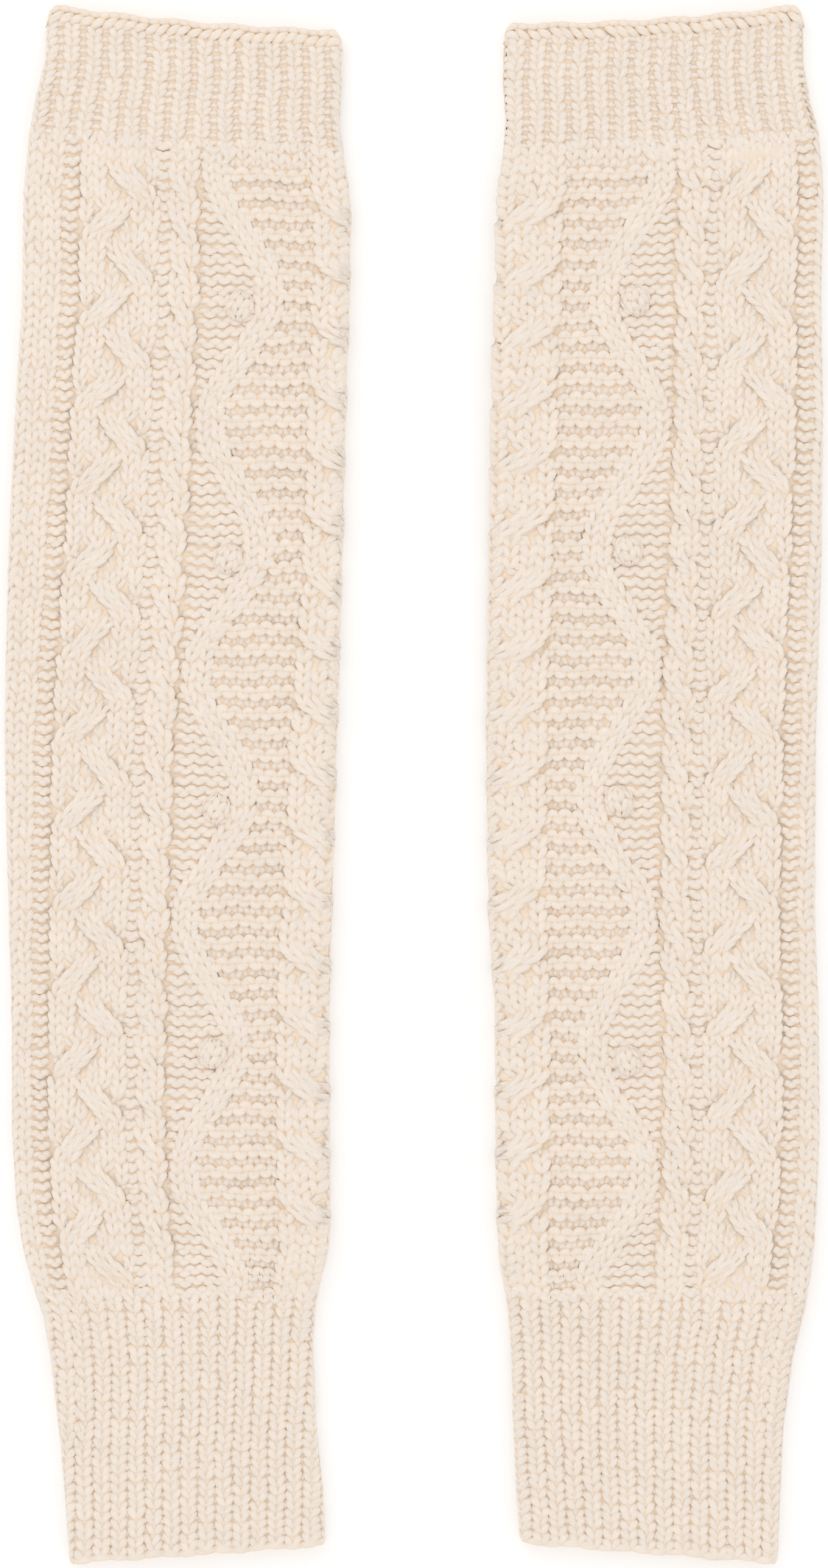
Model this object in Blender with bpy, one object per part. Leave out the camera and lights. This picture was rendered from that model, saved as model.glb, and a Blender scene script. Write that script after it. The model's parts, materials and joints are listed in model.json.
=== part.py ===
"""Pair of knitted arm warmers, lying flat side by side.

Each arm warmer is a knitted tube pressed flat: a cable panel between a ribbed
top and a ribbed cuff, with a bound-off rim, a cast-on rim and four bobbles.
Units are metres, +Z is up, and +Y runs from the cuff to the upper arm.
"""

import math
from collections import namedtuple

import bmesh
import bpy

MM = 0.001

# Cloth
WALL = 3.0 * MM
LAYER_GAP = 0.8 * MM
SEAM_GAP = 0.3 * MM
THICKNESS = 2 * WALL + LAYER_GAP
FOLD_RADIUS = THICKNESS / 2

# Lengths of the knitted pieces along the arm
TOP_RIM_DEPTH = 5.6 * MM
TOP_RIB_END = 198.0 * MM
CUFF_START = -157.7 * MM
CUFF_RIM_DEPTH = 3.0 * MM

# Rounded corners of the two rims, seen from above
TOP_CORNER = 4.4 * MM
CUFF_CORNER = 1.9 * MM

# Points round one ring
FOLD_STEPS = 6
BACK_STEPS = 5
RIB_STEPS = 8

# Cables are laid out on a panel this wide and sink level this near a fold.
PANEL_WIDTH = 102.0 * MM
CABLE_FADE = 5.0 * MM

# Bobbles
BOBBLE_HALF_WIDTH = 4.6 * MM
BOBBLE_HALF_LENGTH = 5.6 * MM
BOBBLE_HEIGHT = 3.8 * MM
BOBBLE_SEGMENTS = 14
BOBBLE_RINGS = 8

# One line across an arm warmer. All columns are millimetres: its place along
# the arm, the left and right folds, how far it rises at each fold, how far it
# dips half way, and how far the outer fold lies from the plaited cable.
Station = namedtuple("Station", "along left right left_rise right_rise dip turn")

LEFT_STATIONS = (
    Station(236.0, -113.0, -22.0, 4.0, -4.0, 1.4, 14.0),
    Station(219.0, -114.0, -21.9, 3.9, -3.9, 1.2, 14.5),
    Station(207.5, -116.8, -22.6, 3.8, -3.8, 0.8, 16.5),
    Station(196.0, -119.2, -21.1, 3.0, -3.0, 0.4, 17.6),
    Station(180.0, -120.9, -19.7, 1.6, -1.6, 0.0, 18.4),
    Station(150.0, -121.2, -20.0, 0.0, 0.0, 0.0, 18.5),
    Station(117.0, -123.3, -21.1, 0.0, 0.0, 0.0, 18.5),
    Station(72.0, -125.4, -22.1, 0.0, 0.0, 0.0, 18.2),
    Station(16.0, -126.7, -23.8, 0.0, 0.0, 0.0, 16.0),
    Station(-40.0, -125.4, -25.4, 0.0, 0.0, 0.0, 13.7),
    Station(-73.0, -124.4, -26.2, 0.0, 0.0, 0.0, 12.6),
    Station(-107.0, -124.3, -26.0, 0.0, 0.0, 0.0, 12.3),
    Station(-130.0, -122.9, -25.8, 0.0, 0.0, 0.0, 12.3),
    Station(-142.0, -121.1, -26.3, -0.3, 0.3, 0.0, 12.4),
    Station(-152.0, -118.5, -28.1, -0.5, 0.5, 0.0, 12.0),
    Station(-163.0, -114.5, -30.1, -0.8, 0.8, 0.0, 11.0),
    Station(-175.0, -112.3, -30.7, -1.0, 1.0, 0.0, 10.0),
    Station(-197.0, -109.7, -29.8, -1.5, 1.5, 0.0, 9.0),
    Station(-219.0, -107.6, -27.7, -2.2, 2.2, 0.0, 9.0),
    Station(-237.2, -106.4, -26.8, -2.8, 2.8, 0.0, 9.0),
)

RIGHT_STATIONS = (
    Station(237.0, 27.6, 120.0, -2.8, 3.0, 1.7, 6.0),
    Station(219.0, 26.9, 120.3, -2.8, 3.0, 1.3, 6.0),
    Station(207.5, 27.8, 122.2, -2.8, 3.0, 0.8, 7.0),
    Station(196.0, 26.8, 125.4, -2.2, 2.4, 0.4, 8.2),
    Station(182.0, 25.2, 126.7, -1.2, 1.4, 0.0, 8.8),
    Station(150.0, 24.5, 125.9, 0.0, 0.0, 0.0, 9.0),
    Station(117.0, 23.4, 126.5, 0.0, 0.0, 0.0, 9.2),
    Station(72.0, 23.2, 126.1, 0.0, 0.0, 0.0, 10.6),
    Station(16.0, 22.3, 124.4, 0.0, 0.0, 0.0, 11.3),
    Station(-40.0, 23.0, 124.1, 0.0, 0.0, 0.0, 12.2),
    Station(-73.0, 25.1, 125.2, 0.0, 0.0, 0.0, 12.4),
    Station(-107.0, 25.1, 125.4, 0.0, 0.0, 0.0, 12.4),
    Station(-130.0, 25.6, 124.6, 0.0, 0.0, 0.0, 12.9),
    Station(-142.0, 26.1, 123.8, 0.3, -0.3, 0.0, 13.6),
    Station(-152.0, 26.9, 122.6, 0.5, -0.5, 0.0, 14.0),
    Station(-163.0, 28.6, 120.1, 0.8, -0.8, 0.0, 12.0),
    Station(-175.0, 29.6, 117.1, 1.0, -1.0, 0.0, 10.0),
    Station(-197.0, 30.1, 114.1, 1.6, -1.6, 0.0, 9.0),
    Station(-219.0, 31.1, 113.0, 2.3, -2.3, 0.0, 9.0),
    Station(-236.8, 32.2, 112.3, 3.2, -3.2, 0.0, 9.0),
)

# How far the cloth's face stands above its ground, from the outer edge of the
# plaited cable towards the inner fold. Both columns are millimetres.
Lane = namedtuple("Lane", "across rise")
BODY_LANES = (
    Lane(0.0, 0.0),
    Lane(2.5, 1.7),
    Lane(12.0, 1.9),
    Lane(21.5, 1.7),
    Lane(24.0, 0.0),
    Lane(27.2, 0.0),
    Lane(29.0, 1.3),
    Lane(34.6, 1.3),
    Lane(36.4, 0.0),
    Lane(54.0, 0.0),
    Lane(71.8, 0.0),
    Lane(74.2, 1.8),
)

# Centres of the bobbles in millimetres, from the upper arm to the cuff.
Bobble = namedtuple("Bobble", "across along")
LEFT_BOBBLES = (
    Bobble(-53.3, 146.6),
    Bobble(-56.9, 69.0),
    Bobble(-60.6, -7.6),
    Bobble(-61.8, -82.8),
)
RIGHT_BOBBLES = (
    Bobble(68.0, 148.5),
    Bobble(65.7, 71.6),
    Bobble(63.1, -5.3),
    Bobble(65.7, -85.0),
)

# Red, green, blue and roughness of each kind of piece
RIM_WOOL = (0.83, 0.76, 0.66, 0.95)
RIB_WOOL = (0.85, 0.78, 0.68, 0.95)
BODY_WOOL = (0.87, 0.80, 0.70, 0.95)
BOBBLE_WOOL = (0.88, 0.81, 0.72, 0.95)

# An arm warmer: outer_side is -1 where the outer fold is the left one.
Warmer = namedtuple("Warmer", "name stations outer_side bobbles")
WARMERS = (
    Warmer("left", LEFT_STATIONS, -1, LEFT_BOBBLES),
    Warmer("right", RIGHT_STATIONS, 1, RIGHT_BOBBLES),
)


def clear_scene():
    """Remove what the scene holds, so that only the arm warmers are left."""
    for obj in list(bpy.data.objects):
        bpy.data.objects.remove(obj, do_unlink=True)


def make_collection(name):
    """Return a new collection linked to the scene."""
    collection = bpy.data.collections.new(name)
    bpy.context.scene.collection.children.link(collection)
    return collection


def make_material(name, finish):
    """Return a matt wool material from its colour and roughness."""
    red, green, blue, roughness = finish
    material = bpy.data.materials.new(name)
    material.use_nodes = True
    shader = material.node_tree.nodes["Principled BSDF"]
    shader.inputs["Base Color"].default_value = (red, green, blue, 1.0)
    shader.inputs["Roughness"].default_value = roughness
    shader.inputs["Metallic"].default_value = 0.0
    return material


def station_at(stations, along):
    """Return the line across the cloth at a place along the arm, in metres."""
    place = along / MM
    for upper, lower in zip(stations, stations[1:]):
        if upper.along >= place >= lower.along:
            share = (upper.along - place) / (upper.along - lower.along)
            mixed = (a + share * (b - a) for a, b in zip(upper, lower))
            return Station(*(value * MM for value in mixed))
    raise ValueError(f"{along} m is beyond the arm warmer's ends")


def rib_profile(width):
    """Return (across, rise) along a ribbed front, which is level."""
    run = width - 2 * FOLD_RADIUS
    shares = (step / RIB_STEPS for step in range(RIB_STEPS + 1))
    return [(FOLD_RADIUS + run * share, 0.0) for share in shares]


def panel_profile(width, turn):
    """Return (across, rise) along the cable panel, from the outer fold's end."""
    first = FOLD_RADIUS
    last = width - FOLD_RADIUS
    squeeze = width / PANEL_WIDTH
    points = [(first, 0.0), ((first + turn) / 2, 0.0)]
    for lane in BODY_LANES:
        points.append((turn + lane.across * MM * squeeze, lane.rise * MM))
    points.append(((points[-1][0] + last) / 2, points[-1][1]))
    points.append((last, points[-1][1]))
    faded = []
    for across, rise in points:
        reach = min(across - first, last - across)
        fade = min(1.0, max(0.0, reach / CABLE_FADE))
        faded.append((across, rise * fade))
    return faded


def fold_arc(centre_across, radius, start_degrees):
    """Return the points between the ends of a half round fold."""
    points = []
    for step in range(1, FOLD_STEPS):
        angle = math.radians(start_degrees - 180.0 * step / FOLD_STEPS)
        across = centre_across + radius * math.cos(angle)
        height = FOLD_RADIUS + radius * math.sin(angle)
        points.append((across, height))
    return points


def back_line(width, height):
    """Return the points of the back layer, from the inner fold outwards."""
    run = width - 2 * FOLD_RADIUS
    shares = (step / BACK_STEPS for step in range(BACK_STEPS + 1))
    return [(width - FOLD_RADIUS - run * share, height) for share in shares]


def ring_sections(width, front):
    """Return the outer and inner outlines of the flattened tube."""
    sections = []
    for radius in (FOLD_RADIUS, LAYER_GAP / 2):
        outer = radius == FOLD_RADIUS
        top = FOLD_RADIUS + radius
        section = [(across, top + (rise if outer else 0.0)) for across, rise in front]
        section += fold_arc(width - FOLD_RADIUS, radius, 90.0)
        section += back_line(width, FOLD_RADIUS - radius)
        section += fold_arc(FOLD_RADIUS, radius, -90.0)
        sections.append(section)
    return sections


def corner_drop(edge_distance, corner):
    """Return how far a rounded corner falls back, this near the fold."""
    shortfall = min(corner, max(0.0, corner - edge_distance))
    return corner - math.sqrt(corner**2 - shortfall**2)


def place_ring(warmer, along, is_panel=False, corner=0.0, inwards=0.0):
    """Return the outer and inner rings at a place along the arm as points."""
    station = station_at(warmer.stations, along)
    width = station.right - station.left
    front = panel_profile(width, station.turn) if is_panel else rib_profile(width)
    rings = []
    for section in ring_sections(width, front):
        ring = []
        for across, height in section:
            if warmer.outer_side < 0:
                x = station.left + across
            else:
                x = station.right - across
            share = (x - station.left) / width
            y = station.along + station.left_rise
            y += share * (station.right_rise - station.left_rise)
            y -= 4 * share * (1 - share) * station.dip
            y += inwards * corner_drop(min(across, width - across), corner)
            ring.append((x, y, height))
        rings.append(ring)
    return rings


def tube_object(name, rings, collection, material):
    """Loft an open-ended wall through pairs of outer and inner rings."""
    mesh = bmesh.new()
    layers = []
    for outer, inner in rings:
        layers.append([[mesh.verts.new(point) for point in ring] for ring in (outer, inner)])
    count = len(layers[0][0])
    for upper, lower in zip(layers, layers[1:]):
        for ring_index in (0, 1):
            near = upper[ring_index]
            far = lower[ring_index]
            for i in range(count):
                j = (i + 1) % count
                mesh.faces.new((near[i], near[j], far[j], far[i]))
    for outer, inner in (layers[0], layers[-1]):
        for i in range(count):
            j = (i + 1) % count
            mesh.faces.new((outer[i], outer[j], inner[j], inner[i]))
    bmesh.ops.recalc_face_normals(mesh, faces=mesh.faces)
    return finish_object(name, mesh, collection, material)


def finish_object(name, mesh, collection, material):
    """Turn a bmesh into a smooth shaded object in its collection."""
    data = bpy.data.meshes.new(name)
    mesh.to_mesh(data)
    mesh.free()
    data.materials.append(material)
    data.shade_smooth()
    data.set_sharp_from_angle(angle=math.radians(50))
    obj = bpy.data.objects.new(name, data)
    collection.objects.link(obj)
    return obj


def knitted_piece(warmer, name, start, end, is_panel, collection, material):
    """Make the tube between two places along the arm, short of its seams."""
    inside = [s.along * MM for s in warmer.stations if end < s.along * MM < start]
    places = [start, *inside, end]
    rings = [place_ring(warmer, along, is_panel) for along in places]
    return tube_object(f"{warmer.name}_{name}", rings, collection, material)


def rim_piece(warmer, name, free_end, seam, corner, collection, material):
    """Make a rim whose free end has corners rounded back towards the seam."""
    inwards = 1.0 if seam > free_end else -1.0
    rings = [
        place_ring(warmer, free_end, corner=corner, inwards=inwards),
        place_ring(warmer, seam),
    ]
    return tube_object(f"{warmer.name}_{name}", rings, collection, material)


def bobble_dome(warmer, number, bobble, collection, material):
    """Make one bobble as a flat-based dome just above the panel."""
    mesh = bmesh.new()
    bmesh.ops.create_uvsphere(
        mesh, u_segments=BOBBLE_SEGMENTS, v_segments=BOBBLE_RINGS, radius=1.0
    )
    geometry = list(mesh.verts) + list(mesh.edges) + list(mesh.faces)
    bmesh.ops.bisect_plane(
        mesh, geom=geometry, plane_co=(0, 0, 0), plane_no=(0, 0, -1), clear_outer=True
    )
    rim = [edge for edge in mesh.edges if edge.is_boundary]
    bmesh.ops.edgeloop_fill(mesh, edges=rim)
    size = (BOBBLE_HALF_WIDTH, BOBBLE_HALF_LENGTH, BOBBLE_HEIGHT)
    bmesh.ops.scale(mesh, vec=size, verts=mesh.verts)
    bmesh.ops.recalc_face_normals(mesh, faces=mesh.faces)
    obj = finish_object(f"{warmer.name}_bobble_{number}", mesh, collection, material)
    obj.location = (bobble.across * MM, bobble.along * MM, THICKNESS + SEAM_GAP)
    return obj


def build_warmer(warmer, collection):
    """Make every piece of one arm warmer."""
    half_gap = SEAM_GAP / 2
    top = warmer.stations[0].along * MM
    bottom = warmer.stations[-1].along * MM
    rim_seam = top - TOP_RIM_DEPTH
    cuff_seam = bottom + CUFF_RIM_DEPTH
    rim_wool = make_material(f"{warmer.name}_rim_wool", RIM_WOOL)
    rib_wool = make_material(f"{warmer.name}_rib_wool", RIB_WOOL)
    body_wool = make_material(f"{warmer.name}_body_wool", BODY_WOOL)
    bobble_wool = make_material(f"{warmer.name}_bobble_wool", BOBBLE_WOOL)
    rim_piece(warmer, "top_rim", top, rim_seam + half_gap, TOP_CORNER, collection, rim_wool)
    ribs = (
        ("top_rib", rim_seam - half_gap, TOP_RIB_END + half_gap),
        ("cuff_rib", CUFF_START - half_gap, cuff_seam + half_gap),
    )
    for name, start, end in ribs:
        knitted_piece(warmer, name, start, end, False, collection, rib_wool)
    body_ends = (TOP_RIB_END - half_gap, CUFF_START + half_gap)
    knitted_piece(warmer, "body", *body_ends, True, collection, body_wool)
    rim_piece(warmer, "cuff_rim", bottom, cuff_seam - half_gap, CUFF_CORNER, collection, rim_wool)
    for number, bobble in enumerate(warmer.bobbles, start=1):
        bobble_dome(warmer, number, bobble, collection, bobble_wool)


def main():
    """Build the pair."""
    clear_scene()
    collection = make_collection("arm_warmers")
    for warmer in WARMERS:
        build_warmer(warmer, collection)


main()
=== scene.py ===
"""Pair of cable-knit arm warmers, lying flat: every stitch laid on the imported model."""

import json
import math
from collections import namedtuple

import bpy
import numpy as np
from bpy.props import FloatProperty, FloatVectorProperty, PointerProperty
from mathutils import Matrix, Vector

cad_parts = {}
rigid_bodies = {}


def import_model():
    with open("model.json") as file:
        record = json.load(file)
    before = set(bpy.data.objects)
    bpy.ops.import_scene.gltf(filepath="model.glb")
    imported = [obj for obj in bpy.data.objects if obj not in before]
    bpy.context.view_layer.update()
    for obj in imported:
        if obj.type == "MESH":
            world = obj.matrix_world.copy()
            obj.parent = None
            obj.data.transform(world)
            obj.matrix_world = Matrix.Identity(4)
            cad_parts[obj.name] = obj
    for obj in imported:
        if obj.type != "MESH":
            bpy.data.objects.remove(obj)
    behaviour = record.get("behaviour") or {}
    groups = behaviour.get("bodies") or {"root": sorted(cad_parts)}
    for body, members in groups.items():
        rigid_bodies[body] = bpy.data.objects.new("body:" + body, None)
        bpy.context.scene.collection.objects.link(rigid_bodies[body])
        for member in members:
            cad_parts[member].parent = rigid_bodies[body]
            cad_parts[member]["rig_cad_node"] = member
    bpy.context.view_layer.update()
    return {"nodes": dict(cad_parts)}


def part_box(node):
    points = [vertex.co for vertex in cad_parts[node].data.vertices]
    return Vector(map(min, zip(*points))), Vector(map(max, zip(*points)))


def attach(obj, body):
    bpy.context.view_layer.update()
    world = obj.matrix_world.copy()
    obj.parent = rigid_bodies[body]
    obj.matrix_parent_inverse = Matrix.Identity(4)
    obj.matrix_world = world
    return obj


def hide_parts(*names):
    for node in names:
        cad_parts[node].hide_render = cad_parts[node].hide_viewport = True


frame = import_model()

bl_info = {
    "name": "Knitted arm warmers",
    "version": (1, 0, 0),
    "blender": (4, 5, 0),
    "location": "3D View > Sidebar > Knit",
    "description": "Lays the stitches of a pair of cable-knit arm warmers on their flat form",
    "category": "Add Mesh",
}

MM = 0.001

# Form of the tube below its stitches, in millimetres: the room for stitches at
# its sides and its back, the radius of its folds and the height of its middle
SIDE_RELIEF = 1.05
BACK_RELIEF = 1.0
FOLD_CORE = 2.35
MIDDLE = FOLD_CORE + BACK_RELIEF
PANEL_WIDTH = 102.0

# How much more room stitches have on the front than on the back, in millimetres,
# how much flatter they lie over a fold, and how firmly the back presses them: the
# nearer this power is to 1, the sooner they flatten as they near the surface
FRONT_ROOM = 8.0
FOLD_FLATTENING = 0.5
PRESSING = 4.0

# Places along the arm, in millimetres
TOP_RIM_DEPTH = 5.6
CUFF_RIM_DEPTH = 3.0
TOP_CORNER = 4.4
CUFF_CORNER = 1.9

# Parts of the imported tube, from the cuff up, and the gap at its seams
TUBE_PARTS = ("cuff_rib", "body", "top_rib")
SEAM = 0.3

# Rows of stitches
BODY_ROWS = 111
TOP_ROWS = 14
CUFF_ROWS = 29

# Crossings of each cable: the first row, the rows between two, the rows that one
# takes, and how far the strand below dives, in millimetres
Twist = namedtuple("Twist", "first repeat span dive")
PLAIT_OUTER = Twist(6.8, 8, 3.6, 0.45)
PLAIT_INNER = PLAIT_OUTER._replace(first=2.7)
ROPE_TWIST = Twist(2.3, 4, 2.3, 0.4)
INNER_TWIST = Twist(2.1, 6, 3.0, 0.3)

# How much of the cables' heights the rope and the travelling line have
ROPE_SHARE = 0.8
LINE_SHARE = 0.78

# Widths of the panel's lanes in millimetres, from the plait's outer edge inwards
PLAIT_WIDTH = 24.2
PURL_WALE_WIDTH = 3.3
ROPE_WIDTH = 9.2
PANEL_GROUND_WIDTH = 35.9
INNER_CABLE_WIDTH = 19.6
ROPE_START = PLAIT_WIDTH + PURL_WALE_WIDTH
GROUND_START = ROPE_START + ROPE_WIDTH
INNER_CABLE_START = GROUND_START + PANEL_GROUND_WIDTH
FRONT_END = INNER_CABLE_START + INNER_CABLE_WIDTH

# Lanes outwards of the plait, in millimetres
LADDER_STITCH = 2.9
LADDER_WIDTH = 2 * LADDER_STITCH
EDGE_STITCH = 4.1
EDGE_WALES = 3
FRONT_START = -LADDER_WIDTH - EDGE_WALES * EDGE_STITCH

# Widths of a stitch of the ground and of the line, in millimetres, the most
# stitches that the ground has in a row, and the wales of the back
GROUND_STITCH = 3.99
LINE_STITCH = 4.3
GROUND_MOST = 9
BACK_WALES = 23

# The travelling line: its centre's distance from the rope at its two ends,
# and how many rows it holds still there, out of its whole repeat
LINE_NEAR = 5.6
LINE_FAR = 22.1
LINE_REPEAT = 24
LINE_HOLD = 1.4

# Bobbles: half sizes of their core, stitches and rows, in millimetres
BOBBLE_CORE = (3.9, 4.1)
BOBBLE_STITCH = 4.1
BOBBLE_ROW = 3.1
BOBBLE_WALES = 3
BOBBLE_ROWS = 4

# Lifts of plain stitches above the cloth or a bobble's core, in millimetres
EDGE_LIFT = 0.35
BACK_LIFT = 0.3
RECESS_LIFT = 0.15
BOBBLE_LIFT = 0.15

# Rolls at the two ends: their half thickness and lift, in millimetres, and how
# many stitches swell the one at the top
Roll = namedtuple("Roll", "half lift")
TOP_ROLL = Roll(1.25, 0.30)
CUFF_ROLL = Roll(1.45, 0.25)
TOP_ROLL_STITCHES = 60

# The bound-off chain: its pitch, its depth below the top, the slant and half
# thickness of a stitch, in millimetres, and its reach in pitches
CHAIN_PITCH = 3.3
CHAIN_DEPTH = 3.9
CHAIN_SLANT = 3.3
CHAIN_HALF = 1.42
CHAIN_REACH = 1.45

# The cuff's seam, in millimetres: a stitch's length and half thickness, and where
# it starts and ends below the body
SEAM_STITCH = 4.7
SEAM_HALF = 1.25
SEAM_SPAN = (1.0, 46.0)

# Floor and lamp: sizes and place in metres, and the strength of the floor's glow
FLOOR_HALF = 3.0
FLOOR_GLOW = 0.1
KEY_SIZE = 0.9
KEY_PLACE = (-0.55, 0.75, 1.1)

# Camera: the height of the view in metres, at the height of the cloth's top, and
# its lens, sensor and that height in millimetres
FRAME_HEIGHT = 0.482
LENS = 100.0
SENSOR = 36.0
CLOTH_TOP = 6.0

# How far lanes and rows wander off their true line, in millimetres
WANDER = 0.22

# How high the cloth fills in below the stitches, across the panel
Fill = namedtuple("Fill", "offset lift")
FILLS = (
    Fill(FRONT_START, 0.35),
    Fill(-12.0, 0.45),
    Fill(-6.6, 0.45),
    Fill(-5.4, 0.35),
    Fill(-0.4, 0.40),
    Fill(0.8, 1.2),
    Fill(6.0, 1.7),
    Fill(12.0, 1.7),
    Fill(18.0, 1.7),
    Fill(23.2, 1.3),
    Fill(24.4, 1.2),
    Fill(27.2, 1.2),
    Fill(28.6, 1.0),
    Fill(32.0, 1.3),
    Fill(35.8, 1.0),
    Fill(37.0, 0.5),
    Fill(45.0, 0.5),
    Fill(54.0, 0.5),
    Fill(63.0, 0.4),
    Fill(71.8, 0.4),
    Fill(73.6, 1.2),
    Fill(82.0, 1.7),
    Fill(91.0, 1.2),
    Fill(FRONT_END, 0.4),
)
RIB_FILL = 0.45

# Over how far the filling changes from body to rib, and sinks round a fold, and
# how far the ribs run on under the body, in millimetres
FILL_FADE = 6.0
FOLD_FADE = 3.7
RIB_OVERLAP = 1.2

# The cloth's points over the front and the back, its rings, how far it stops
# short of the cuff and the top, how far its inner face lies below, in
# millimetres, and the margin and width of one face's flat map
FRONT_POINTS = 52
BACK_POINTS = 38
CLOTH_RINGS = 100
CLOTH_SHORT = (1.2, 1.4)
CLOTH_INSIDE = -2.05
MAP_MARGIN = 0.01
MAP_WIDTH = 0.47

# Angles across the visible side of a yarn
FULL_YARN = np.radians([-28.0, 32.0, 90.0, 148.0, 208.0])
LIGHT_YARN = np.radians([-20.0, 55.0, 125.0, 200.0])
CORE_SECTION = np.radians([-5.0, 25.0, 60.0, 90.0, 120.0, 155.0, 185.0])
ROUND_YARN = np.radians(np.arange(0.0, 361.0, 45.0))

# Where the plait lies: along the arm, and the outer fold's distance from it
Turn = namedtuple("Turn", "along turn")
LEFT_TURNS = (
    Turn(-240.0, 9.0),
    Turn(-163.0, 11.0),
    Turn(-142.0, 12.4),
    Turn(-100.0, 12.3),
    Turn(-73.0, 12.6),
    Turn(-40.0, 13.7),
    Turn(16.0, 16.0),
    Turn(72.0, 18.2),
    Turn(150.0, 18.5),
    Turn(180.0, 18.4),
    Turn(207.0, 17.0),
    Turn(240.0, 14.0),
)
RIGHT_TURNS = (
    Turn(-240.0, 10.0),
    Turn(-163.0, 12.0),
    Turn(-150.0, 14.0),
    Turn(-130.0, 12.9),
    Turn(-73.0, 12.4),
    Turn(16.0, 11.3),
    Turn(72.0, 10.6),
    Turn(117.0, 9.2),
    Turn(180.0, 8.8),
    Turn(207.0, 8.0),
    Turn(240.0, 7.0),
)

# Where the first rib from the outer fold lies, along the arm, and how many pairs
# of one knit and one purl wale go all round
Phase = namedtuple("Phase", "along around")
Rib = namedtuple("Rib", "pairs share phases")
LEFT_TOP_RIB = Rib(27, 0.66, (Phase(198.0, 10.3), Phase(236.0, 8.3)))
RIGHT_TOP_RIB = Rib(29, 0.68, (Phase(198.0, 6.4), Phase(236.0, 4.6)))
LEFT_CUFF_RIB = Rib(
    30, 0.87, (Phase(-237.0, 5.3), Phase(-208.0, 7.5), Phase(-186.0, 10.4), Phase(-158.0, 12.6))
)
RIGHT_CUFF_RIB = Rib(
    30, 0.87, (Phase(-237.0, 8.6), Phase(-208.0, 9.4), Phase(-186.0, 10.2), Phase(-158.0, 11.0))
)

# Centres of the bobbles
Bobble = namedtuple("Bobble", "across along")
LEFT_BOBBLES = (
    Bobble(-53.3, 146.6),
    Bobble(-56.9, 69.0),
    Bobble(-60.6, -7.6),
    Bobble(-61.8, -82.8),
)
RIGHT_BOBBLES = (
    Bobble(68.0, 148.5),
    Bobble(65.7, 71.6),
    Bobble(63.1, -5.3),
    Bobble(65.7, -85.0),
)

# A crossing's row, the lower of its two slots, and the slot that the strand in
# front comes from
Crossing = namedtuple("Crossing", "row slot front_from")

# How much later the far stitches of a strand below move, in rows, how much of a
# crossing's span it takes, and how far a strand's middle stands above its edges
UNDER_SPREAD = 3.6
UNDER_SPAN = 0.85
STRAND_CROWN = 0.35

# The smooth core below a strand: its top against the stitches' middle, its half
# height and how much deeper it counts as lying for its painted shade, in millimetres
CORE_TOP = 0.25
CORE_HALF_HEIGHT = 1.5
CORE_SHADE_SINK = 0.5

# How deep below a yarn's crown the painted shade reaches its full warm, darker tint, in millimetres
FULL_SHADE_DEPTH = 1.1


def smooth(value):
    """Ease a value from 0 to 1."""
    value = np.clip(value, 0.0, 1.0)
    return value * value * (3.0 - 2.0 * value)


def bump(value):
    """Return a soft hill that is 1 at 0 and 0 from -1 and 1 outwards."""
    return smooth(1.0 - np.abs(value))


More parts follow.
